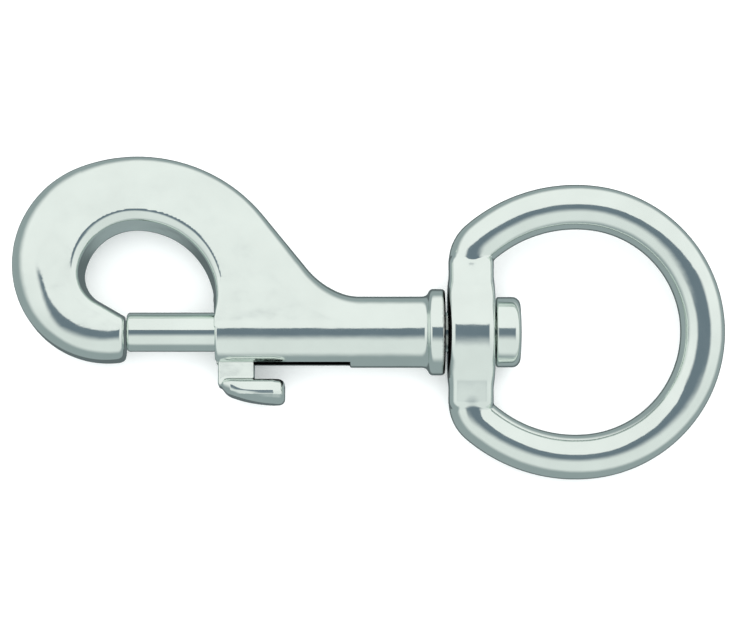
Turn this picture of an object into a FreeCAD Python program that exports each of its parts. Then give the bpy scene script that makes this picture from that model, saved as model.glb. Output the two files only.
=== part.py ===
"""Swivel bolt snap with a round eye, in millimetres.

A cast hook and barrel, a spring-loaded bolt that a thumb trigger pulls back to open the hook,
and a round eye that turns on a headed stud in the barrel's rear end.

Frame: the origin is the centre of the eye's round end. X runs along the common axis of barrel, bolt
and swivel, with the hook towards -X. The hook lies in the XY plane, bulging towards +Y, and +Z is up
as the snap lies on a table.
"""
import FreeCAD, Part

import math
import os

V = FreeCAD.Vector
ORIGIN = V(0, 0, 0)
X_AXIS = V(1, 0, 0)
Y_AXIS = V(0, 1, 0)
Z_AXIS = V(0, 0, 1)

# --- driving dimensions -------------------------------------------------------------------------
# An arc chain is a centre, a radius and a starting angle, then turns: the angle where the arc ends
# and the radius of the next one, which touches it there and lies on the same side.

# Eye: a round bar bent to a ring, wider towards a strap that carries the swivel hub.
EYE_INSIDE_R = 12.8         # a one inch eye
EYE_BAR_R = 2.8
EYE_SHOULDER_TURN = 84.0
EYE_SHOULDER_R = 18.3       # centre-line radius beside the strap
EYE_CORNER_TURN = 130.5
EYE_CORNER_R = 3.3          # centre-line radius where shoulder and strap meet
EYE_ROLL = 9.0              # degrees about X: the eye lies over until its rim nears the table
STRAP_HALF_DEPTH = 2.7
STRAP_HALF_WIDTH = 2.95
STRAP_HALF_LENGTH = 8.6
STRAP_EDGE_R = 1.0
HUB_HALF_WIDTH = 3.0
HUB_HALF_HEIGHT = 6.3
HUB_HALF_DEPTH = 5.2
HUB_EDGE_R = 0.9

# Barrel, with its collar at the swivel end.
BARREL_R = 4.45
BARREL_FRONT = -45.3
BARREL_FRONT_EDGE_R = 0.5
BORE_R = 2.5
COLLAR_R = 5.4
COLLAR_LENGTH = 2.05
COLLAR_EDGE_R = 0.5
COLLAR_ROOT_R = 0.4
COLLAR_GAP = 0.25           # between collar and hub
HEAD_GAP = 0.1              # between hub and stud head

# Hook: the outline outside, from the neck round to the nose.
HOOK_HALF_THICKNESS = 4.4
HOOK_ROUNDING_R = 3.1
CROWN = V(-55.1, 1.5)
CROWN_R = 20.5
CROWN_START = 39.5          # degrees, where the straight towards the neck ends
BACK_TURN = 110.0
BACK_R = 13.0
NOSE_TURN = 205.0
NOSE_R = 11.8
NOSE_TIP = -56.4
NOSE_CORNER_R = 1.0
NECK_R = 10.2               # concave, from the crown down to the barrel

# Hook: the outline of the opening, from above the barrel round to the nose.
OPENING_FRONT = V(-56.6, 2.5)
OPENING_FRONT_R = 11.3
OPENING_TURNS = [(21.0, 9.8), (90.0, 6.5), (167.5, 3.6)]
OPENING_END_TURN = 240.0    # from here the nose runs straight to its tip
OPENING_LOW = 1.5
OPENING_DRAFT = 10.0        # degrees, away from the parting line at half thickness
OPENING_BEVEL = 0.6

# Bolt and trigger.
BOLT_R = 2.45
BOLT_TIP_GAP = 0.1
BOLT_TIP_EDGE_R = 0.45
BOLT_REAR = -39.3
BOLT_PILOT_R = 1.45
BOLT_PILOT_LENGTH = 1.8
BOLT_TRAVEL = 11.7
STEM_FRONT = -44.85
STEM_LENGTH = 4.5
STEM_HALF_THICKNESS = 1.75
STEM_SEAT = -1.7            # Y of the flat on the bolt that the stem stands on
RIVET_R = 1.1
RIVET_TOP = 2.1
PAD_LENGTH = 8.3
PAD_TOP = -6.1
PAD_BOTTOM = -9.15
PAD_HALF_WIDTH = 3.0
PAD_TOE_R = 2.7             # the lower corner towards the hook
PAD_HEEL_R = 1.0
PAD_EDGE_R = 0.7
SLOT_HALF_WIDTH = 1.85
SLOT_END_GAP = 0.2          # left behind the stem at full travel
SLOT_DEPTH = 6.0

# Stud and spring.
STUD_HEAD_R = 4.4
STUD_HEAD_LENGTH = 3.2
STUD_HEAD_EDGE_R = 1.1
STUD_IN_BARREL = 5.6
HUB_BORE_R = 2.58
WIRE_R = 0.225
SPRING_R = 1.95
SPRING_TURNS = 10
SPRING_END_GAP = 0.02

OVERCUT = 1.0               # how far a cutting tool runs past the surface it cuts
TOUCHING = 1e-6             # places nearer than this are the same


# --- helpers ------------------------------------------------------------------------------------
def direction(degrees):
    return V(math.cos(math.radians(degrees)), math.sin(math.radians(degrees)))


def arc(centre, radius, start, end):
    """The arc in the XY plane from angle start to angle end, clockwise when end is the smaller."""
    points = [centre + direction(angle) * radius for angle in (start, (start + end) / 2, end)]
    return Part.Arc(*points).toShape()


def line(a, b):
    return Part.LineSegment(a, b).toShape()


def polyline(*points):
    return [line(a, b) for a, b in zip(points, points[1:])]


def next_centre(centre, radius, turn, next_radius):
    """The centre of the arc that follows in a chain."""
    return centre + direction(turn) * (radius - next_radius)


def arc_chain(centre, radius, start, turns, end, offset=0.0):
    """The edges of an arc chain, all moved outwards by offset."""
    edges = []
    for turn, next_radius in turns:
        edges.append(arc(centre, radius + offset, start, turn))
        centre = next_centre(centre, radius, turn, next_radius)
        radius = next_radius
        start = turn
    edges.append(arc(centre, radius + offset, start, end))
    return edges


def end_of(edge):
    return edge.valueAt(edge.LastParameter)


def middle_of(edge):
    return edge.valueAt((edge.FirstParameter + edge.LastParameter) / 2)


def prism(edges, z_start, z_end):
    """The closed outline in the XY plane, extruded between two heights."""
    face = Part.Face(Part.Wire(edges))
    face.translate(Z_AXIS * z_start)
    return face.extrude(Z_AXIS * (z_end - z_start))


def rod(radius, x_start, x_end):
    """A cylinder on the X axis."""
    return Part.makeCylinder(radius, x_end - x_start, V(x_start, 0, 0), X_AXIS)


def block(x, y, z):
    """The box between two values on each axis."""
    return Part.makeBox(x[1] - x[0], y[1] - y[0], z[1] - z[0], V(x[0], y[0], z[0]))


def edges_at_x(shape, x):
    """The edges that lie in the plane at that x."""
    return [e for e in shape.Edges if all(abs(v.Point.x - x) < TOUCHING for v in e.Vertexes)]


# --- places worked out from the dimensions ------------------------------------------------------
EYE_LINE_R = EYE_INSIDE_R + EYE_BAR_R
SHOULDER = next_centre(ORIGIN, EYE_LINE_R, EYE_SHOULDER_TURN, EYE_SHOULDER_R)
CORNER = next_centre(SHOULDER, EYE_SHOULDER_R, EYE_CORNER_TURN, EYE_CORNER_R)
STRAP_X = CORNER.x - EYE_CORNER_R
HUB_FRONT = STRAP_X - HUB_HALF_WIDTH
HUB_REAR = STRAP_X + HUB_HALF_WIDTH
COLLAR_REAR = HUB_FRONT - COLLAR_GAP
COLLAR_FRONT = COLLAR_REAR - COLLAR_LENGTH
HEAD_FRONT = HUB_REAR + HEAD_GAP
STUD_INNER_END = COLLAR_REAR - STUD_IN_BARREL
STEM_REAR = STEM_FRONT + STEM_LENGTH
STEM_MIDDLE = STEM_FRONT + STEM_LENGTH / 2
SLOT_END = STEM_REAR + BOLT_TRAVEL + SLOT_END_GAP


# --- hook, web and barrel -----------------------------------------------------------------------
def bounds_a_face(edge, outline):
    """Whether the plate's edge runs along the outline on the upper or the lower face."""
    middle = middle_of(edge)
    if abs(abs(middle.z) - HOOK_HALF_THICKNESS) > TOUCHING:
        return False
    flat = Part.Vertex(V(middle.x, middle.y))
    return any(flat.distToShape(other)[0] < TOUCHING for other in outline)


def hook_blank():
    """Hook and web as a plate with a rounded outer edge, the opening not yet cut."""
    back = next_centre(CROWN, CROWN_R, BACK_TURN, BACK_R)
    nose = next_centre(back, BACK_R, NOSE_TURN, NOSE_R)
    corner_reach = NOSE_TIP - NOSE_CORNER_R - nose.x
    corner_turn = 360 - math.degrees(math.acos(corner_reach / (NOSE_R - NOSE_CORNER_R)))

    # The straight touches both the crown arc and the neck arc.
    slope = direction(CROWN_START)
    neck_y = BARREL_R + NECK_R
    neck_x = CROWN.x + (CROWN_R + NECK_R - (neck_y - CROWN.y) * slope.y) / slope.x
    neck = V(neck_x, neck_y)

    turns = [(BACK_TURN, BACK_R), (NOSE_TURN, NOSE_R), (corner_turn, NOSE_CORNER_R)]
    outside = [arc(neck, NECK_R, 270, 180 + CROWN_START)]
    crown = arc_chain(CROWN, CROWN_R, CROWN_START, turns, 360)
    outside += [line(end_of(outside[0]), CROWN + slope * CROWN_R)] + crown
    tip = end_of(outside[-1])
    on_barrel = V(neck.x, BARREL_R)
    inside = polyline(
        tip,
        V(NOSE_TIP, OPENING_LOW),
        V(BARREL_FRONT, OPENING_LOW),
        V(BARREL_FRONT, 0),
        V(neck.x, 0),
        on_barrel,
    )
    plate = prism(outside + inside, -HOOK_HALF_THICKNESS, HOOK_HALF_THICKNESS)
    # The small corner at the nose's tip stays sharp.
    rounded = [e for e in plate.Edges if bounds_a_face(e, outside[:-1])]
    return plate.makeFillet(HOOK_ROUNDING_R, rounded)


def opening_wire(offset, z):
    """The opening's outline, moved outwards by offset, at height z."""
    arcs = arc_chain(OPENING_FRONT, OPENING_FRONT_R, 0, OPENING_TURNS, OPENING_END_TURN, offset)
    front = arcs[0].valueAt(arcs[0].FirstParameter)
    back = end_of(arcs[-1])
    run = NOSE_TIP + OVERCUT - back.x
    tip = back + V(run, -run * math.tan(math.radians(270 - OPENING_END_TURN)))
    wire = Part.Wire(arcs + polyline(back, tip, V(tip.x, OPENING_LOW), V(front.x, OPENING_LOW), front))
    wire.translate(Z_AXIS * z)
    return wire


def opening_cutter():
    """The opening with its draft from the parting line and the bevel at both faces."""
    bevel_z = HOOK_HALF_THICKNESS - OPENING_BEVEL
    drafted = bevel_z * math.tan(math.radians(OPENING_DRAFT))
    outermost = (drafted + OPENING_BEVEL + OVERCUT, HOOK_HALF_THICKNESS + OVERCUT)
    sections = [(0, 0), (drafted, bevel_z), outermost]
    steps = []
    for side in (-1, 1):
        for near, far in zip(sections, sections[1:]):
            wires = [opening_wire(offset, side * z) for offset, z in (near, far)]
            steps.append(Part.makeLoft(wires, True, True))
    return steps[0].fuse(steps[1:])


def barrel():
    tube = rod(BARREL_R, BARREL_FRONT, COLLAR_REAR)
    tube = tube.makeFillet(BARREL_FRONT_EDGE_R, edges_at_x(tube, BARREL_FRONT))
    collar = rod(COLLAR_R, COLLAR_FRONT, COLLAR_REAR)
    rims = edges_at_x(collar, COLLAR_FRONT) + edges_at_x(collar, COLLAR_REAR)
    collar = collar.makeFillet(COLLAR_EDGE_R, rims)
    body = tube.fuse(collar)
    root = [e for e in edges_at_x(body, COLLAR_FRONT) if abs(e.Curve.Radius - BARREL_R) < TOUCHING]
    return body.makeFillet(COLLAR_ROOT_R, root)


def snap_body():
    mouth_x = (NOSE_TIP, BARREL_FRONT)
    mouth = block(mouth_x, (-2 * BARREL_R, OPENING_LOW + OVERCUT), (-BARREL_R - OVERCUT, BARREL_R + OVERCUT))
    slot = block((BARREL_FRONT - OVERCUT, SLOT_END), (-SLOT_DEPTH, 0), (-SLOT_HALF_WIDTH, SLOT_HALF_WIDTH))
    bore = rod(BORE_R, BARREL_FRONT - OVERCUT, COLLAR_REAR + OVERCUT)
    hook = hook_blank().cut(opening_cutter())
    return hook.fuse(barrel()).removeSplitter().cut([mouth, slot, bore])


# --- bolt, trigger, spring ----------------------------------------------------------------------
def bolt():
    pin = rod(BOLT_R, NOSE_TIP + BOLT_TIP_GAP, BOLT_REAR)
    pin = pin.makeFillet(BOLT_TIP_EDGE_R, edges_at_x(pin, NOSE_TIP + BOLT_TIP_GAP))
    pilot = rod(BOLT_PILOT_R, BOLT_REAR, BOLT_REAR + BOLT_PILOT_LENGTH)
    seat = block((STEM_FRONT, STEM_REAR), (-2 * BOLT_R, STEM_SEAT), (-BOLT_R, BOLT_R))
    hole = Part.makeCylinder(RIVET_R, 4 * BOLT_R, V(STEM_MIDDLE, -2 * BOLT_R, 0), Y_AXIS)
    return pin.fuse(pilot).cut([seat, hole])


def thumb_trigger():
    """A stem on the bolt's flat, its rivet through the bolt, and a pad the thumb pulls."""
    stem_z = (-STEM_HALF_THICKNESS, STEM_HALF_THICKNESS)
    stem = block((STEM_FRONT, STEM_REAR), (PAD_TOP - PAD_EDGE_R, STEM_SEAT), stem_z)
    rivet = Part.makeCylinder(RIVET_R, RIVET_TOP - STEM_SEAT, V(STEM_MIDDLE, STEM_SEAT, 0), Y_AXIS)
    rear = STEM_FRONT + PAD_LENGTH
    toe = V(STEM_FRONT + PAD_TOE_R, PAD_BOTTOM + PAD_TOE_R)
    heel = V(rear - PAD_HEEL_R, PAD_BOTTOM + PAD_HEEL_R)
    low_heel = arc(heel, PAD_HEEL_R, 270, 360)
    low_toe = arc(toe, PAD_TOE_R, 180, 270)
    top = polyline(end_of(low_heel), V(rear, PAD_TOP), V(STEM_FRONT, PAD_TOP), V(STEM_FRONT, toe.y))
    low = line(V(toe.x, PAD_BOTTOM), V(heel.x, PAD_BOTTOM))
    pad = prism([low_toe, low, low_heel] + top, -PAD_HALF_WIDTH, PAD_HALF_WIDTH)
    pad = pad.makeFillet(PAD_EDGE_R, pad.Edges)
    return stem.fuse([rivet, pad]).removeSplitter()


def bolt_spring():
    """Round wire wound between the bolt's shoulder and the end of the stud."""
    start = BOLT_REAR + WIRE_R + SPRING_END_GAP
    length = STUD_INNER_END - WIRE_R - SPRING_END_GAP - start
    helix = Part.makeHelix(length / SPRING_TURNS, length, SPRING_R)
    section = Part.Wire(Part.makeCircle(WIRE_R, V(SPRING_R, 0, 0), Y_AXIS))
    coil = helix.makePipeShell([section], True, True)
    coil.rotate(ORIGIN, Y_AXIS, 90)
    coil.translate(X_AXIS * start)
    return coil


# --- stud and eye -------------------------------------------------------------------------------
def swivel_stud():
    head = rod(STUD_HEAD_R, HEAD_FRONT, HEAD_FRONT + STUD_HEAD_LENGTH)
    head = head.makeFillet(STUD_HEAD_EDGE_R, edges_at_x(head, HEAD_FRONT + STUD_HEAD_LENGTH))
    return head.fuse(rod(BORE_R, STUD_INNER_END, HEAD_FRONT))


def eye_ring():
    """The bar swept round the ring, the upper half built as an arc chain and mirrored."""
    turns = [(EYE_SHOULDER_TURN, EYE_SHOULDER_R), (EYE_CORNER_TURN, EYE_CORNER_R)]
    upper = arc_chain(ORIGIN, EYE_LINE_R, 0, turns, 180)
    strap_top = end_of(upper[-1])
    strap = line(strap_top, V(strap_top.x, -strap_top.y))
    lower = [edge.mirror(ORIGIN, Y_AXIS) for edge in upper]
    path = Part.Wire(Part.__sortEdges__(upper + [strap] + lower))
    section = Part.Wire(Part.makeCircle(EYE_BAR_R, V(EYE_LINE_R, 0, 0), Y_AXIS))
    return path.makePipeShell([section], True, True)


def swivel_eye():
    strap_x = (STRAP_X - STRAP_HALF_WIDTH, STRAP_X + STRAP_HALF_WIDTH)
    strap_y = (-STRAP_HALF_LENGTH, STRAP_HALF_LENGTH)
    strap = block(strap_x, strap_y, (-STRAP_HALF_DEPTH, STRAP_HALF_DEPTH))
    strap = strap.makeFillet(STRAP_EDGE_R, strap.Edges)
    rim = Part.Ellipse(ORIGIN, HUB_HALF_HEIGHT, HUB_HALF_DEPTH).toShape()
    rim.rotate(ORIGIN, Z_AXIS, 90)
    rim.rotate(ORIGIN, Y_AXIS, 90)
    rim.translate(X_AXIS * HUB_FRONT)
    hub = Part.Face(Part.Wire(rim)).extrude(X_AXIS * (2 * HUB_HALF_WIDTH))
    hub = hub.makeFillet(HUB_EDGE_R, edges_at_x(hub, HUB_FRONT) + edges_at_x(hub, HUB_REAR))
    hole = rod(HUB_BORE_R, HUB_FRONT - OVERCUT, HUB_REAR + OVERCUT)
    eye = eye_ring().fuse([strap, hub]).removeSplitter().cut(hole)
    eye.rotate(ORIGIN, X_AXIS, EYE_ROLL)
    return eye


os.makedirs("parts", exist_ok=True)
for make in (snap_body, bolt, thumb_trigger, bolt_spring, swivel_stud, swivel_eye):
    shape = make()
    shape.exportStep("parts/" + make.__name__ + ".step")
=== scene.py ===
import math

import bpy
import numpy as np
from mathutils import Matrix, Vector


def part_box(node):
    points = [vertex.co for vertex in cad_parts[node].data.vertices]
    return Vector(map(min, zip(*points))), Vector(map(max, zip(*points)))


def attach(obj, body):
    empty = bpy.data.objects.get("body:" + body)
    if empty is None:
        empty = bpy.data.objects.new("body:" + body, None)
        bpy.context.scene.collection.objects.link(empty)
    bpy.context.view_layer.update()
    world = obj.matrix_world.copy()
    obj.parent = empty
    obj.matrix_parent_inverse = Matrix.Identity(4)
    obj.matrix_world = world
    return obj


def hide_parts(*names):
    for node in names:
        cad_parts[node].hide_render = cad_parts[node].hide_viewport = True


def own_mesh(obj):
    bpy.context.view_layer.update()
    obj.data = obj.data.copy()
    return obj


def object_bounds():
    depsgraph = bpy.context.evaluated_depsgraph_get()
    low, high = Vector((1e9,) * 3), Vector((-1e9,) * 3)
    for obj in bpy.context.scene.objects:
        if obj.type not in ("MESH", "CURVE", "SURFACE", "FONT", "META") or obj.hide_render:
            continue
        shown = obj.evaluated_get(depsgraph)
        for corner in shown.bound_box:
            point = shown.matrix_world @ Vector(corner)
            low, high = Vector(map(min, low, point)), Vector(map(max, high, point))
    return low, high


MM = 0.001

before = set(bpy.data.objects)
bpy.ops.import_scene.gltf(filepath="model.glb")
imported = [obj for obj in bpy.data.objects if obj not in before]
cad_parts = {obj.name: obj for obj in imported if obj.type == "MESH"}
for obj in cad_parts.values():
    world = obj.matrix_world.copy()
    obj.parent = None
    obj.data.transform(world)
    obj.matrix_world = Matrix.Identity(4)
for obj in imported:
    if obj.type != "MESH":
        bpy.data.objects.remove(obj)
cad_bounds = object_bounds()

# --- dimensions, in millimetres -----------------------------------------------------------------
# A plane curve is handled as complex numbers, x + iy.
EYE_INSIDE_R = 12.8
EYE_BAR_R = 2.8
EYE_TURNS = [(84.0, 18.3), (130.5, 3.3)]
EYE_ROLL = 9.0
STRAP_HALF_WIDTH = 2.75
STRAP_HALF_DEPTH = 3.5
STRAP_HALF_LENGTH = 9.9
STRAP_EDGE = 1.3
STRAP_FALL = 0.2            # the slope of the strap's faces down to the bar
STRAP_FALL_START = 5.4
STRAP_FALL_ROUNDING = 0.8
HUB_HALF_WIDTH = 3.0
HUB_HALF_HEIGHT = 6.3
HUB_HALF_DEPTH = 5.2
HUB_EDGE = 1.5
HUB_FACE_REACH = 8.0        # how far the hub's true end faces reach along the strap
HUB_BORE_R = 2.58

BARREL_R = 4.45
BARREL_FRONT = -45.3
BORE_R = 2.5
COLLAR_R = 5.4
COLLAR_LENGTH = 2.05
BARREL_EDGE = 0.5
COLLAR_GAP = 0.25
HEAD_GAP = 0.1

HOOK_HALF_THICKNESS = 4.4
HOOK_REAR = -51.0           # the web's outline takes over behind this
CROWN = -55.1 + 1.5j
CROWN_R = 20.5
CROWN_START = 39.5
HOOK_TURNS = [(110.0, 13.0), (205.0, 11.8)]
NECK_R = 10.2
NECK_START = -44.0          # from here to its end the web's edge turns as round as the barrel
NECK_END = -28.0
WEB_END = -26.2             # inside the barrel, just before the neck's arc ends
NOSE_TIP = -56.4
OPENING_FRONT = -56.6 + 2.5j
OPENING_FRONT_R = 11.3
OPENING_TURNS = [(21.0, 9.8), (90.0, 6.5), (167.5, 3.6)]
OPENING_END = 240.0
OPENING_LOW = 1.5
OPENING_DRAFT = 9.0
OPENING_BEVEL = 0.5
EDGE_IN = 4.0
EDGE_DEEP = 2.9
EDGE_POWER = 2.0            # the edge is an ellipse; a lower power flattens it towards a bevel
EDGE_FLATTER = 0.35

BOLT_R = 2.45
BOLT_TIP = -56.3
BOLT_TIP_EDGE = 0.45
BOLT_REAR = -39.3
PILOT_R = 1.45
PILOT_REAR = -37.5
STEM_FRONT = -44.85
STEM_REAR = -40.35
STEM_HALF_THICKNESS = 1.75
STEM_TOP = -1.7
PAD_REAR = -36.55
PAD_TOP = -6.1
PAD_BOTTOM = -9.15
PAD_HALF_WIDTH = 3.0
PAD_EDGE = 0.75
PAD_CROWN = 0.24
PAD_HIP = 0.5
TOE_HEIGHT = 1.8
TOE_LENGTH = 3.4
SLOT_END = -28.45
SLOT_HALF_WIDTH = 1.85

STUD_HEAD_R = 4.4
STUD_HEAD_LENGTH = 3.2
STUD_HEAD_EDGE = 1.05
STUD_IN_BARREL = 5.6
WIRE_R = 0.225
SPRING_R = 1.95
SPRING_TURNS = 10

CAST_PITCH = 0.22           # the mesh's cell size
TRIGGER_PITCH = 0.12
ROUNDS = 3                  # of evening the mesh out
NOWHERE = -9.0              # a field value that never shows


# --- distance fields ----------------------------------------------------------------------------
def unit(degrees):
    return np.exp(1j * np.radians(degrees))


def smooth_max(a, b, k):
    """The larger of two fields, rounded where they meet over a width k.

    Where the two are equal the result is k / 4 larger, so faces that lie in one plane move.
    """
    h = np.maximum(k - np.abs(a - b), 0.0) / k
    return np.maximum(a, b) + h * h * k / 4


def smooth_min(a, b, k):
    return -smooth_max(-a, -b, k)


def share(value, start, end):
    """How far a value has come from start to end, from 0 to 1."""
    return np.clip((value - start) / (end - start), 0.0, 1.0)


def eased(t):
    return t ** 2 * (3 - 2 * t)


def rounded_box(offsets, halves, r):
    """The field of a box with rounded edges, from the distances to its middle planes."""
    q = [np.abs(o) - h + r for o, h in zip(offsets, halves)]
    outside = np.sqrt(sum(np.maximum(part, 0.0) ** 2 for part in q))
    inside = np.minimum(np.maximum.reduce(q), 0.0)
    return outside + inside - r


def cylinder_x(p, x_start, x_end, radius, r):
    """The field of a rod on the X axis with rounded rims."""
    reach = np.hypot(p[:, 1], p[:, 2])
    middle = (x_start + x_end) / 2
    return rounded_box([p[:, 0] - middle, reach], [(x_end - x_start) / 2, radius], r)


def arc_piece(z, centre, radius, start, end):
    """How far z is from an arc, and its side of the arc's circle, positive outside."""
    q = z - centre
    turn = np.mod(np.degrees(np.angle(q)) - start, 360.0)
    ends = np.minimum(np.abs(q - radius * unit(start)), np.abs(q - radius * unit(end)))
    side = np.abs(q) - radius
    return np.where(turn <= end - start, np.abs(side), ends), side


def line_piece(z, a, b):
    """How far z is from the line from a to b, and its side, positive on the right."""
    along = (b - a) / abs(b - a)
    q = (z - a) * np.conj(along)
    past = np.maximum(np.maximum(-q.real, q.real - abs(b - a)), 0.0)
    return np.hypot(past, q.imag), -q.imag


def nearest_side(pieces):
    """The signed distance to a smooth curve, taken from the piece that is nearest."""
    far = np.array([piece[0] for piece in pieces])
    side = np.array([piece[1] for piece in pieces])
    pick = far.argmin(axis=0)
    index = np.arange(far.shape[1])
    return far[pick, index] * np.sign(side[pick, index])


def next_centre(centre, radius, turn, next_radius):
    return centre + unit(turn) * (radius - next_radius)


def arc_chain(centre, radius, start, turns, end):
    """The arcs (centre, radius, start, end) of a chain of arcs that touch each other."""
    arcs = []
    for turn, next_radius in turns:
        arcs.append((centre, radius, start, turn))
        centre = next_centre(centre, radius, turn, next_radius)
        radius = next_radius
        start = turn
    arcs.append((centre, radius, start, end))
    return arcs


# --- places worked out from the dimensions ------------------------------------------------------
EYE_LINE = arc_chain(0j, EYE_INSIDE_R + EYE_BAR_R, 0.0, EYE_TURNS, 180.0)
STRAP_X = (EYE_LINE[-1][0] - EYE_LINE[-1][1]).real
STRAP_TOP = EYE_LINE[-1][0].imag
HUB_FRONT = STRAP_X - HUB_HALF_WIDTH
HUB_REAR = STRAP_X + HUB_HALF_WIDTH
COLLAR_REAR = HUB_FRONT - COLLAR_GAP
HEAD_FRONT = HUB_REAR + HEAD_GAP
STUD_INNER_END = COLLAR_REAR - STUD_IN_BARREL


def hook_outer(z):
    """The signed distance to the hook's outer outline: neck, straight, crown, back, nose."""
    slope = unit(CROWN_START)
    neck_y = BARREL_R - 0.25 + NECK_R
    neck_x = CROWN.real + (CROWN_R + NECK_R - (neck_y - CROWN.imag) * slope.imag) / slope.real
    neck = complex(neck_x, neck_y)
    neck_far, neck_side = arc_piece(z, neck, NECK_R, 180 + CROWN_START, 270)
    arcs = arc_chain(CROWN, CROWN_R, CROWN_START, HOOK_TURNS, 330)
    web = nearest_side([
        line_piece(z, neck - slope * NECK_R, CROWN + slope * CROWN_R),
        (neck_far, -neck_side),
        arc_piece(z, *arcs[0]),
    ])
    hook = nearest_side([arc_piece(z, *arc) for arc in arcs])
    return np.where(z.real > HOOK_REAR, web, hook)


def opening(z):
    """The signed distance to the opening's outline at the parting line, negative inside."""
    arcs = arc_chain(OPENING_FRONT, OPENING_FRONT_R, 0, OPENING_TURNS, OPENING_END)
    centre, radius, _, end = arcs[-1]
    back = centre + radius * unit(end)
    front = OPENING_FRONT + OPENING_FRONT_R
    lines = [
        line_piece(z, back, back + 8 * unit(end + 90)),
        line_piece(z, front - 20j, front),
    ]
    return nearest_side([arc_piece(z, *arc) for arc in arcs] + lines)


def plate_field(x, y, z):
    """Hook and web before they are pierced: a plate whose outer edge is part of an ellipse.

    The edge reaches further in than down. Towards the neck it deepens until the web is as round
    as the barrel that it runs into, and on the hook's back it is flatter.
    """
    at_hook = x < HOOK_REAR
    along_neck = share(x, NECK_START, NECK_END)
    deep = EDGE_DEEP + (HOOK_HALF_THICKNESS - EDGE_DEEP) * eased(along_neck)
    inward = EDGE_IN - 0.1 * (6.0 - np.clip(y, 0.0, 6.0)) * (1 - along_neck)
    u = np.maximum(hook_outer(x + 1j * y) + inward, 0.0) / inward
    v = np.maximum(np.abs(z) - HOOK_HALF_THICKNESS + deep, 0.0) / deep
    power = EDGE_POWER - EDGE_FLATTER * eased(share(y, -1.0, 5.0)) * share(x, -56.0, -62.0)
    reach = (u ** power + v ** power) ** (1 / power)
    steepness = np.hypot(u ** (power - 1) / inward, v ** (power - 1) / deep)
    slope = steepness * np.maximum(reach, 1e-6) ** (1 - power)
    plate = (reach - 1.0) / np.maximum(slope, 0.2)
    plate = smooth_max(plate, np.where(at_hook & (y < 5.0), x - NOSE_TIP, NOWHERE), 1.0)
    return np.where(at_hook, plate, np.maximum(smooth_max(plate, -y, 0.1), x - WEB_END))


def opening_field(x, y, z):
    """The hook's opening, widened by its draft and by a bevel along each face, most at the top."""
    height = np.abs(z)
    high = share(y, 6.0, 12.0)
    fade = np.where(x < HOOK_REAR, 1.0, share(y, 1.2, 6.2))
    draft = math.tan(math.radians(OPENING_DRAFT)) + 0.05 * high
    bevel = OPENING_BEVEL * (1.0 + 0.5 * high) - (HOOK_HALF_THICKNESS - height)
    widening = (height * draft + 1.1 * smooth_max(bevel, np.zeros_like(z), 0.3)) * fade
    below = np.where(x > -54.0, OPENING_LOW - y, NOWHERE)
    return smooth_max(opening(x + 1j * y) - widening, below, 0.4)


def barrel_field(p):
    tube = cylinder_x(p, BARREL_FRONT, COLLAR_REAR, BARREL_R, BARREL_EDGE)
    collar = cylinder_x(p, COLLAR_REAR - COLLAR_LENGTH, COLLAR_REAR, COLLAR_R, BARREL_EDGE)
    # A blend swells faces that lie in one plane, so the rear face is cut true again.
    return smooth_max(smooth_min(tube, collar, 0.9), p[:, 0] - COLLAR_REAR, 0.1)


def body_field(p):
    """Hook, web, barrel and collar, with the mouth, the slot and the bore cut out."""
    x, y, z = p.T
    hook = smooth_max(plate_field(x, y, z), -opening_field(x, y, z), 0.3)
    # Web and barrel meet softly on top, and sharply along the side and where the neck ends.
    blend = 0.04 + 0.76 * share(y, 1.0, 4.0) * share(x, -26.5, -32.5)
    body = np.where(x < HOOK_REAR, hook, smooth_min(barrel_field(p), hook, blend))

    mouth_x = (NOSE_TIP + BARREL_FRONT) / 2
    mouth = rounded_box([x - mouth_x, y + 6.0], [(BARREL_FRONT - NOSE_TIP) / 2, 8.0], 0.01)
    slot_half = (SLOT_END - BARREL_FRONT + 4) / 2
    slot = rounded_box([x - SLOT_END + slot_half, y + 5.0, z], [slot_half, 5.0, SLOT_HALF_WIDTH], 0.2)
    # The bore starts in the mouth, so the nose stays whole.
    bore = np.maximum(np.hypot(y, z) - BORE_R, mouth_x - x)
    for cut, edge in ((mouth, 0.3), (slot, 0.2), (bore, 0.25)):
        body = smooth_max(body, -cut, edge)
    return body


def body_painted_shade(p):
    """Where painted shade goes: how far a point is into the bore, the slot or the gap before the hub,
    from 0 to 1.
    """
    x, y, z = p.T
    reach = np.hypot(y, z)
    bore = share(reach, BORE_R + 0.25, BORE_R + 0.1) * (x > BARREL_FRONT + 0.1)
    across_slot = (np.abs(z) < SLOT_HALF_WIDTH + 0.08) & (y < 0)
    along_slot = (x < SLOT_END + 0.1) & (x > BARREL_FRONT + 0.3)
    slot = share(reach, BARREL_R - 0.02, BARREL_R - 0.12) * (across_slot & along_slot)
    rear = share(x, COLLAR_REAR - 0.36, COLLAR_REAR - 0.24)
    return np.maximum(np.maximum(bore, slot), rear)


def in_eye_plane(p):
    """Coordinates with the ring's own plane level."""
    roll = math.radians(EYE_ROLL)
    y = p[:, 1] * math.cos(roll) + p[:, 2] * math.sin(roll)
    z = p[:, 2] * math.cos(roll) - p[:, 1] * math.sin(roll)
    return p[:, 0], y, z


def hub_scale(y, z):
    """The size of the hub's ellipse through a point, 1 on the hub's own surface."""
    return np.hypot(y / HUB_HALF_HEIGHT, z / HUB_HALF_DEPTH)


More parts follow.
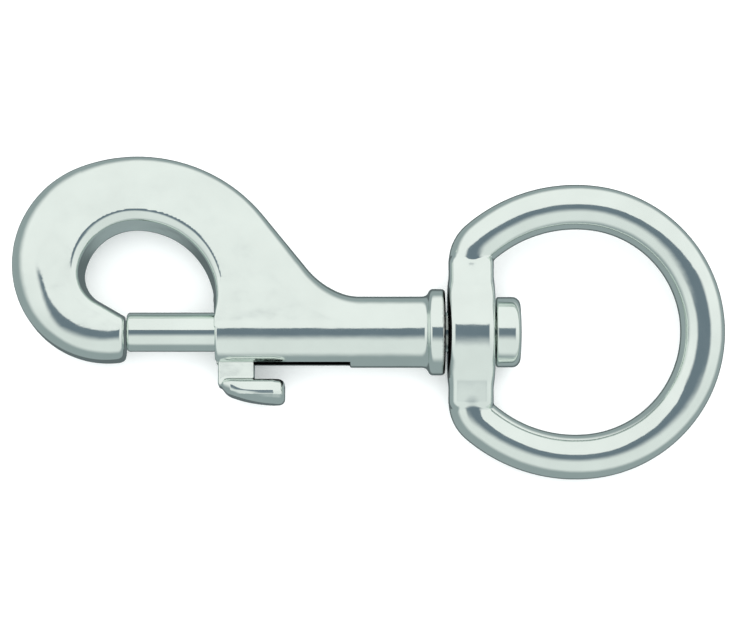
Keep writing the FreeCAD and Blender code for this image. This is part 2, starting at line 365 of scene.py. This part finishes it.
def eye_field(p):
    """The ring, its strap and its hub."""
    x, y, z = in_eye_plane(p)
    half_plane = x + 1j * np.abs(y)
    far = [arc_piece(half_plane, *arc)[0] for arc in EYE_LINE]
    far.append(line_piece(half_plane, complex(STRAP_X, 0), complex(STRAP_X, STRAP_TOP))[0])
    ring = np.hypot(np.minimum.reduce(far), z) - EYE_BAR_R

    # The strap's faces slope from the hub down to the bar.
    beyond = np.abs(y) - STRAP_FALL_START
    fallen = STRAP_FALL / 2 * (beyond + np.hypot(beyond, STRAP_FALL_ROUNDING))
    halves = [STRAP_HALF_WIDTH, STRAP_HALF_LENGTH, STRAP_HALF_DEPTH]
    strap = rounded_box([x - STRAP_X, y, np.abs(z) + fallen], halves, STRAP_EDGE)

    scale = hub_scale(y, z)
    slope = np.hypot(y / HUB_HALF_HEIGHT ** 2, z / HUB_HALF_DEPTH ** 2) / np.maximum(scale, 1e-6)
    side = (scale - 1.0) / np.maximum(slope, 1e-3)
    past_face = np.abs(x - STRAP_X) - HUB_HALF_WIDTH
    hub = smooth_max(side, past_face, HUB_EDGE)
    eye = smooth_min(smooth_min(ring, strap, 0.25), hub, 0.9)
    # The blends swell the hub's faces, so they are cut true for the collar and the stud's head.
    at_hub = (x < STRAP_X + 2 * HUB_HALF_WIDTH) & (np.abs(y) < HUB_FACE_REACH)
    eye = smooth_max(eye, np.where(at_hub, past_face, NOWHERE), 0.3)
    bore = np.maximum(np.hypot(y, z) - HUB_BORE_R, x)
    return smooth_max(eye, -bore, 0.4)


def eye_painted_shade(p):
    """Where painted shade goes: how far a point is into the gap before the hub, from 0 to 1."""
    x, y, z = in_eye_plane(p)
    return share(x, HUB_FRONT + 0.45, HUB_FRONT + 0.15) * (hub_scale(y, z) < 1.02)


def trigger_field(p):
    """The stem and the pad, whose faces are crowned like a shallow roof, hipped at both ends."""
    x, y, z = p.T
    stem_bottom = PAD_TOP - 0.8
    stem = rounded_box(
        [x - (STEM_FRONT + STEM_REAR) / 2, y - (STEM_TOP + stem_bottom) / 2, z],
        [(STEM_REAR - STEM_FRONT) / 2, (STEM_TOP - stem_bottom) / 2, STEM_HALF_THICKNESS],
        0.3,
    )
    middle = (PAD_TOP + PAD_BOTTOM) / 2
    crown = PAD_CROWN * (np.hypot(y - middle, 0.1) - 0.1)
    crown += 0.9 * np.maximum(PAD_BOTTOM + 1.1 - y, 0.0)
    hips = PAD_HIP * (np.maximum(x - PAD_REAR + 1.4, 0) + np.maximum(STEM_FRONT + 1.6 - x, 0))
    pad = rounded_box(
        [x - (STEM_FRONT + PAD_REAR) / 2, y - middle, np.abs(z) + crown + hips],
        [(PAD_REAR - STEM_FRONT) / 2, (PAD_TOP - PAD_BOTTOM) / 2, PAD_HALF_WIDTH],
        PAD_EDGE,
    )
    toe_top = complex(STEM_FRONT, PAD_BOTTOM + TOE_HEIGHT)
    toe_end = complex(STEM_FRONT + TOE_LENGTH, PAD_BOTTOM)
    toe = line_piece(x + 1j * y, toe_top, toe_end)[1]
    return smooth_min(stem, smooth_max(pad, toe, 2.0), 0.3)


# No painted shade anywhere on this piece.
def no_painted_shade(p):
    return np.zeros(len(p))


# --- meshing ------------------------------------------------------------------------------------
def gradient(field, p):
    step = 0.01
    sides = [field(p + step * axis) - field(p - step * axis) for axis in np.eye(3)]
    return np.stack(sides, axis=1) / (2 * step)


def settle(field, p):
    """Moves points onto the surface."""
    slope = gradient(field, p)
    size = np.maximum((slope ** 2).sum(axis=1), 0.05)
    move = slope * (field(p) / size)[:, None]
    reach = np.maximum(np.linalg.norm(move, axis=1), 1e-9)
    return p - move * np.minimum(1.0, 0.15 / reach)[:, None]


def surface(field, low, high, pitch):
    """A closed quad mesh on the field's zero level: one point in each cell that it crosses."""
    low = np.asarray(low, float) - 2 * pitch
    counts = np.ceil((np.asarray(high) + 2 * pitch - low) / pitch).astype(int) + 1
    axes = [low[i] + pitch * np.arange(counts[i]) for i in range(3)]
    value = np.empty(counts)
    for i, x in enumerate(axes[0]):
        y, z = np.meshgrid(axes[1], axes[2], indexing="ij")
        layer = np.stack([np.full(y.size, x), y.ravel(), z.ravel()], axis=1)
        value[i] = field(layer).reshape(y.shape)
    inside = value < 0

    cells = counts - 1
    total = np.zeros((*cells, 3))
    crossings = np.zeros(cells)
    corner = [slice(0, -1), slice(1, None)]
    faces = []
    cell_of = np.arange(np.prod(cells)).reshape(cells)
    for axis in range(3):
        first = [slice(None)] * 3
        second = [slice(None)] * 3
        first[axis] = slice(0, -1)
        second[axis] = slice(1, None)
        a = value[tuple(first)]
        b = value[tuple(second)]
        crossed = inside[tuple(first)] != inside[tuple(second)]
        share = np.where(crossed, a / np.where(crossed, a - b, 1.0), 0.0)
        others = [k for k in range(3) if k != axis]
        for u in range(2):
            for v in range(2):
                pick = [slice(None)] * 3
                pick[others[0]] = corner[u]
                pick[others[1]] = corner[v]
                hit = crossed[tuple(pick)]
                crossings += hit
                total[..., axis] += np.where(hit, share[tuple(pick)], 0.0)
                total[..., others[0]] += hit * u
                total[..., others[1]] += hit * v
        inner = [slice(None)] * 3
        inner[others[0]] = slice(1, -1)
        inner[others[1]] = slice(1, -1)
        where = np.argwhere(crossed[tuple(inner)])
        rising = inside[tuple(first)][tuple(inner)][tuple(where.T)]
        around = []
        for u, v in ((0, 0), (1, 0), (1, 1), (0, 1)):
            at = where.copy()
            at[:, others[0]] += u
            at[:, others[1]] += v
            around.append(cell_of[tuple(at.T)])
        quad = np.stack(around, axis=1)
        turn = rising if axis != 1 else ~rising
        quad[~turn] = quad[~turn][:, ::-1]
        faces.append(quad)
    faces = np.concatenate(faces)
    used, faces = np.unique(faces, return_inverse=True)
    faces = faces.reshape(-1, 4)
    index = np.stack(np.unravel_index(used, cells), axis=1)
    mean = total.reshape(-1, 3)[used] / crossings.reshape(-1)[used][:, None]
    return low + pitch * (index + mean), faces


def relax(points, faces, field, rounds):
    """Evens the mesh out, keeping every point on the surface."""
    a = faces.ravel()
    b = np.roll(faces, -1, axis=1).ravel()
    weight = np.bincount(a, minlength=len(points)) + np.bincount(b, minlength=len(points))
    for _ in range(rounds):
        total = np.zeros_like(points)
        for axis in range(3):
            total[:, axis] += np.bincount(a, points[b, axis], len(points))
            total[:, axis] += np.bincount(b, points[a, axis], len(points))
        points = points + 0.5 * (total / weight[:, None] - points)
        points = settle(field, settle(field, points))
    return points


def make_object(name, points, faces, normals=None):
    """A mesh object from points in millimetres."""
    mesh = bpy.data.meshes.new(name)
    mesh.from_pydata((np.asarray(points) * MM).tolist(), [], [list(map(int, face)) for face in faces])
    mesh.polygons.foreach_set("use_smooth", [True] * len(mesh.polygons))
    if normals is not None:
        mesh.normals_split_custom_set_from_vertices(normals.tolist())
    obj = bpy.data.objects.new(name, mesh)
    bpy.context.scene.collection.objects.link(obj)
    return obj


def field_object(name, field, painted_shade, node, pitch):
    """A piece meshed from its field inside its node's box, with where its painted shade goes as a
    point attribute.
    """
    low, high = [np.array(corner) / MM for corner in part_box(node)]
    points, faces = surface(field, low, high, pitch)
    for _ in range(ROUNDS):
        points = settle(field, points)
    points = relax(points, faces, field, ROUNDS)
    normals = gradient(field, points)
    normals /= np.linalg.norm(normals, axis=1)[:, None]
    obj = make_object(name, points, faces, normals)
    shade = obj.data.attributes.new("painted_shade", "FLOAT", "POINT")
    shade.data.foreach_set("value", painted_shade(points).astype(np.float32))
    return obj


def lathe(name, profile, sides=128):
    """A solid of revolution on the X axis, from (x, radius) points that start and end on it."""
    rings = profile[1:-1]
    turns = np.linspace(0, 2 * np.pi, sides, endpoint=False)
    points = [(profile[0][0], 0, 0)]
    for x, radius in rings:
        points += [(x, radius * math.cos(t), radius * math.sin(t)) for t in turns]
    points.append((profile[-1][0], 0, 0))
    faces = []
    for i in range(sides):
        j = (i + 1) % sides
        faces.append((0, 1 + j, 1 + i))
        for k in range(len(rings) - 1):
            a = 1 + k * sides
            faces.append((a + i, a + j, a + sides + j, a + sides + i))
        last = 1 + (len(rings) - 1) * sides
        faces.append((last + i, last + j, len(points) - 1))
    return make_object(name, points, faces)


def rim(x, radius, r, toward, steps=10):
    """Profile points round an outer rim whose end face is at x, from the face to the side."""
    points = []
    for turn in np.linspace(0, math.pi / 2, steps):
        points.append((x + toward * r * (1 - math.cos(turn)), radius - r + r * math.sin(turn)))
    return points


def coil(name, start, end, turns, sides=12, steps=40):
    """The spring: round wire on a helix about the X axis, its ends closed."""
    count = turns * steps + 1
    lead = (end - start) / (2 * math.pi * turns)
    points = []
    faces = []
    for i in range(count):
        done = i / (count - 1)
        turn = 2 * math.pi * turns * done
        out = Vector((0, math.cos(turn), math.sin(turn)))
        centre = Vector((start + (end - start) * done, 0, 0)) + SPRING_R * out
        onward = Vector((lead, -SPRING_R * math.sin(turn), SPRING_R * math.cos(turn)))
        across = onward.cross(out).normalized()
        for k in range(sides):
            t = 2 * math.pi * k / sides
            points.append(tuple(centre + WIRE_R * (math.cos(t) * out + math.sin(t) * across)))
    for i in range(count - 1):
        for k in range(sides):
            j = (k + 1) % sides
            faces.append((i * sides + k, i * sides + j, (i + 1) * sides + j, (i + 1) * sides + k))
    faces.append(tuple(range(sides))[::-1])
    faces.append(tuple((count - 1) * sides + k for k in range(sides)))
    return make_object(name, points, faces)


# --- pieces -------------------------------------------------------------------------------------
coarse = 1.0
hook = field_object("hook_and_barrel", body_field, body_painted_shade, "snap_body", CAST_PITCH * coarse)
eye = field_object("round_eye", eye_field, eye_painted_shade, "swivel_eye", CAST_PITCH * coarse)
trigger = field_object("trigger_pad", trigger_field, no_painted_shade, "thumb_trigger", TRIGGER_PITCH * coarse)

bolt_profile = [(BOLT_TIP, 0)] + rim(BOLT_TIP, BOLT_R, BOLT_TIP_EDGE, 1)
bolt_profile += [(x, BOLT_R) for x in np.linspace(BOLT_TIP + 1, BOLT_REAR - 0.3, 12)]
bolt_profile += rim(BOLT_REAR, BOLT_R, 0.2, -1)[::-1]
bolt_profile += [(BOLT_REAR, PILOT_R), (BOLT_REAR + 0.05, PILOT_R)]
bolt_profile += rim(PILOT_REAR, PILOT_R, 0.2, -1)[::-1] + [(PILOT_REAR, 0)]
pin = lathe("bolt_pin", bolt_profile)

head_end = HEAD_FRONT + STUD_HEAD_LENGTH
stud_profile = [(STUD_INNER_END, 0)] + rim(STUD_INNER_END, BORE_R - 0.02, 0.2, 1)
stud_profile += [(HEAD_FRONT - 0.05, BORE_R - 0.02), (HEAD_FRONT, BORE_R)]
stud_profile += rim(HEAD_FRONT, STUD_HEAD_R, 0.3, 1)
stud_profile += [(HEAD_FRONT + 0.8, STUD_HEAD_R), (HEAD_FRONT + 1.4, STUD_HEAD_R)]
stud_profile += rim(head_end - 0.15, STUD_HEAD_R, STUD_HEAD_EDGE, -1)[::-1]
stud_profile += [(head_end - 0.07, 2.2), (head_end - 0.02, 1.0), (head_end, 0)]
stud = lathe("stud_head", stud_profile)

spring_start = BOLT_REAR + WIRE_R + 0.02
spring_end = STUD_INNER_END - WIRE_R - 0.02
spring = coil("spring_coil", spring_start, spring_end, SPRING_TURNS)


# --- materials ----------------------------------------------------------------------------------
def plated(name, colour, roughness, wave, seed):
    """Bright plate: a faint cloud of colour and gloss, cast waviness and fine handling marks, with
    near-black painted shade where the point attribute marks hollows and gaps.
    """
    material = bpy.data.materials.new(name)
    material.use_nodes = True
    nodes = material.node_tree.nodes
    links = material.node_tree.links
    shader = nodes["Principled BSDF"]
    shader.inputs["Metallic"].default_value = 1.0
    place = nodes.new("ShaderNodeTexCoord")
    shift = nodes.new("ShaderNodeMapping")
    shift.inputs["Location"].default_value = (seed, seed * 0.7, seed * 1.3)
    links.new(place.outputs["Object"], shift.inputs["Vector"])

    def noise(scale, detail, rough=0.5):
        node = nodes.new("ShaderNodeTexNoise")
        node.inputs["Scale"].default_value = scale
        node.inputs["Detail"].default_value = detail
        node.inputs["Roughness"].default_value = rough
        links.new(shift.outputs["Vector"], node.inputs["Vector"])
        return node.outputs["Fac"]

    def ramp(source, stops):
        node = nodes.new("ShaderNodeValToRGB")
        links.new(source, node.inputs["Fac"])
        for element, (at, value) in zip(node.color_ramp.elements, stops):
            element.position = at
            element.color = value
        return node.outputs["Color"]

    pale = tuple(min(1.0, c * 1.02) for c in colour) + (1.0,)
    deep = tuple(c * 0.96 for c in colour) + (1.0,)
    # Near-black painted shade, mixed in where the point attribute marks the bore, the slot and the
    # gaps by the hub.
    painted_shade = nodes.new("ShaderNodeAttribute")
    painted_shade.attribute_name = "painted_shade"
    painted_shade_mix = nodes.new("ShaderNodeMix")
    painted_shade_mix.data_type = "RGBA"
    links.new(painted_shade.outputs["Fac"], painted_shade_mix.inputs[0])
    links.new(ramp(noise(180.0, 4.0), [(0.3, deep), (0.7, pale)]), painted_shade_mix.inputs[6])
    painted_shade_mix.inputs[7].default_value = (0.02, 0.02, 0.02, 1.0)
    links.new(painted_shade_mix.outputs[2], shader.inputs["Base Color"])
    dull = (roughness * 1.6,) * 3 + (1.0,)
    clear = (roughness * 0.7,) * 3 + (1.0,)
    links.new(ramp(noise(420.0, 6.0, 0.6), [(0.35, clear), (0.75, dull)]), shader.inputs["Roughness"])

    waves = nodes.new("ShaderNodeBump")
    waves.inputs["Strength"].default_value = 1.0
    waves.inputs["Distance"].default_value = wave
    links.new(noise(260.0, 2.0, 0.4), waves.inputs["Height"])
    marks = nodes.new("ShaderNodeBump")
    marks.inputs["Strength"].default_value = 0.35
    marks.inputs["Distance"].default_value = wave * 0.12
    links.new(noise(2600.0, 3.0), marks.inputs["Height"])
    links.new(waves.outputs["Normal"], marks.inputs["Normal"])
    links.new(marks.outputs["Normal"], shader.inputs["Normal"])
    return material


NICKEL = (0.80, 0.86, 0.82)
cast_plate = plated("cast_plate", NICKEL, 0.09, 0.00006, 1.0)
eye_plate = plated("eye_plate", NICKEL, 0.09, 0.00006, 2.0)
pin_plate = plated("pin_plate", NICKEL, 0.08, 0.00002, 3.0)
stud_plate = plated("stud_plate", NICKEL, 0.10, 0.00004, 4.0)
trigger_plate = plated("trigger_plate", NICKEL, 0.10, 0.00004, 5.0)
spring_wire = plated("spring_wire", (0.5, 0.51, 0.52), 0.3, 0.00001, 6.0)

for piece, body, node, slot, material in (
    (hook, "body", "snap_body", "cast_plated", cast_plate),
    (stud, "body", "swivel_stud", "stud_plated", stud_plate),
    (spring, "body", "bolt_spring", "spring_wire", spring_wire),
    (pin, "bolt", "bolt", "bolt_plated", pin_plate),
    (trigger, "bolt", "thumb_trigger", "trigger_plated", trigger_plate),
    (eye, "eye", "swivel_eye", "eye_plated", eye_plate),
):
    piece.data.materials.append(material)
    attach(piece, body)
    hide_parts(node)
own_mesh(spring)

# --- floor, light and camera --------------------------------------------------------------------
FLOOR_Z = cad_bounds[0].z
floor_mesh = bpy.data.meshes.new("floor")
FLOOR_HALF = 1.2
floor_corners = [
    (FLOOR_HALF * x, FLOOR_HALF * y, FLOOR_Z)
    for x, y in ((-1, -1), (1, -1), (1, 1), (-1, 1))
]
floor_mesh.from_pydata(floor_corners, [], [(0, 1, 2, 3)])
floor = bpy.data.objects.new("floor", floor_mesh)
bpy.context.scene.collection.objects.link(floor)
paper = bpy.data.materials.new("paper")
paper.use_nodes = True
paper_inputs = paper.node_tree.nodes["Principled BSDF"].inputs
paper_inputs["Base Color"].default_value = (0.9, 0.91, 0.91, 1)
paper_inputs["Roughness"].default_value = 0.9
# Paper lit a little from behind, as on a light table, which softens the shadow.
paper_inputs["Emission Color"].default_value = (1, 1, 1, 1)
paper_inputs["Emission Strength"].default_value = 0.15
floor_mesh.materials.append(paper)
floor.visible_glossy = False

PHOTO_WIDTH = 736
MM_PER_PIXEL = 0.125
CAMERA_DISTANCE = 420.0
CAMERA_ELEVATION = 82.0
# The picture's centre, as a place in the hook's plane.
AIM = Vector((-26.2, 1.35, 0.0))
tilt = math.radians(90 - CAMERA_ELEVATION)
toward_camera = Vector((0, -math.sin(tilt), math.cos(tilt)))
camera = bpy.data.objects.new("camera", bpy.data.cameras.new("camera"))
bpy.context.scene.collection.objects.link(camera)
camera.location = (AIM + toward_camera * CAMERA_DISTANCE) * MM
camera.rotation_mode = "QUATERNION"
camera.rotation_quaternion = (-toward_camera).to_track_quat("-Z", "Y")
camera.data.sensor_width = 36.0
camera.data.lens = 36.0 * CAMERA_DISTANCE / (PHOTO_WIDTH * MM_PER_PIXEL)
camera.data.clip_start = 0.01
bpy.context.scene.camera = camera


# A light tent round the table: bright cloth, a dark opening where the camera stands, a grey room
# below, and a darker floor straight down.
CLOTH_HIGH = (0.97, 0.99, 0.98)
CLOTH_LOW = (0.82, 0.86, 0.85)
OPENING_DARK = (0.17, 0.22, 0.26)
ROOM = (0.33, 0.39, 0.40)
UNDER_TABLE = (0.13, 0.16, 0.165)
image_up = Vector((0, math.cos(tilt), math.sin(tilt)))

world = bpy.data.worlds.new("tent")
world.use_nodes = True
sky = world.node_tree.nodes
sky_links = world.node_tree.links
sky_direction = sky.new("ShaderNodeTexCoord").outputs["Generated"]


def along(axis):
    """How far a direction points along an axis, from -1 to 1."""
    node = sky.new("ShaderNodeVectorMath")
    node.operation = "DOT_PRODUCT"
    sky_links.new(sky_direction, node.inputs[0])
    node.inputs[1].default_value = axis
    return node.outputs["Value"]


def step_between(value, low, high, at_low=0.0, at_high=1.0):
    """A smooth step of a value from at_low to at_high."""
    node = sky.new("ShaderNodeMapRange")
    node.interpolation_type = "SMOOTHSTEP"
    sky_links.new(value, node.inputs["Value"])
    node.inputs["From Min"].default_value = low
    node.inputs["From Max"].default_value = high
    node.inputs["To Min"].default_value = at_low
    node.inputs["To Max"].default_value = at_high
    return node.outputs["Result"]


def product(a, b):
    node = sky.new("ShaderNodeMath")
    node.operation = "MULTIPLY"
    sky_links.new(a, node.inputs[0])
    sky_links.new(b, node.inputs[1])
    return node.outputs["Value"]


def mixed(share, a, b):
    """From colour a to colour b by share; each is a colour or another node's output."""
    node = sky.new("ShaderNodeMix")
    node.data_type = "RGBA"
    sky_links.new(share, node.inputs["Factor"])
    for name, colour in (("A", a), ("B", b)):
        socket = [i for i in node.inputs if i.name == name and i.type == "RGBA"][0]
        if isinstance(colour, tuple):
            socket.default_value = (*colour, 1)
        else:
            sky_links.new(colour, socket)
    return [o for o in node.outputs if o.type == "RGBA"][0]


up_share = along(image_up)
cloth = mixed(step_between(up_share, -0.5, 0.3), CLOTH_LOW, CLOTH_HIGH)
# The tent's rim leans up and to the right of the camera.
lean = toward_camera + 0.29 * image_up + 0.25 * Vector((1, 0, 0))
in_tent = step_between(along(lean), -0.3, 0.15)
# The opening ends crisply at its top and softly at its bottom and sides.
hole = product(step_between(up_share, 0.21, 0.25, 1.0, 0.0), step_between(up_share, -0.5, -0.08))
side = along(Vector((1, 0, 0)))
hole = product(hole, product(step_between(side, 0.5, 0.72, 1.0, 0.0), step_between(side, -0.62, -0.4)))
hole = product(hole, step_between(along(toward_camera), 0.1, 0.4))
room = mixed(step_between(along(toward_camera), -0.88, -0.74), UNDER_TABLE, ROOM)
tent = mixed(in_tent, room, cloth)
tent = mixed(hole, tent, OPENING_DARK)
sky_links.new(tent, sky["Background"].inputs["Color"])
bpy.context.scene.world = world

fill_light = bpy.data.lights.new("fill", "AREA")
fill_light.shape = "RECTANGLE"
FILL_SIZE = 1.6
fill_light.size = FILL_SIZE
fill_light.size_y = FILL_SIZE
fill_light.energy = 17.0
fill = bpy.data.objects.new("fill", fill_light)
fill.location = (AIM.x * MM, 0, 1.0)
fill.visible_glossy = False
bpy.context.scene.collection.objects.link(fill)
bpy.context.scene.view_settings.view_transform = "Standard"
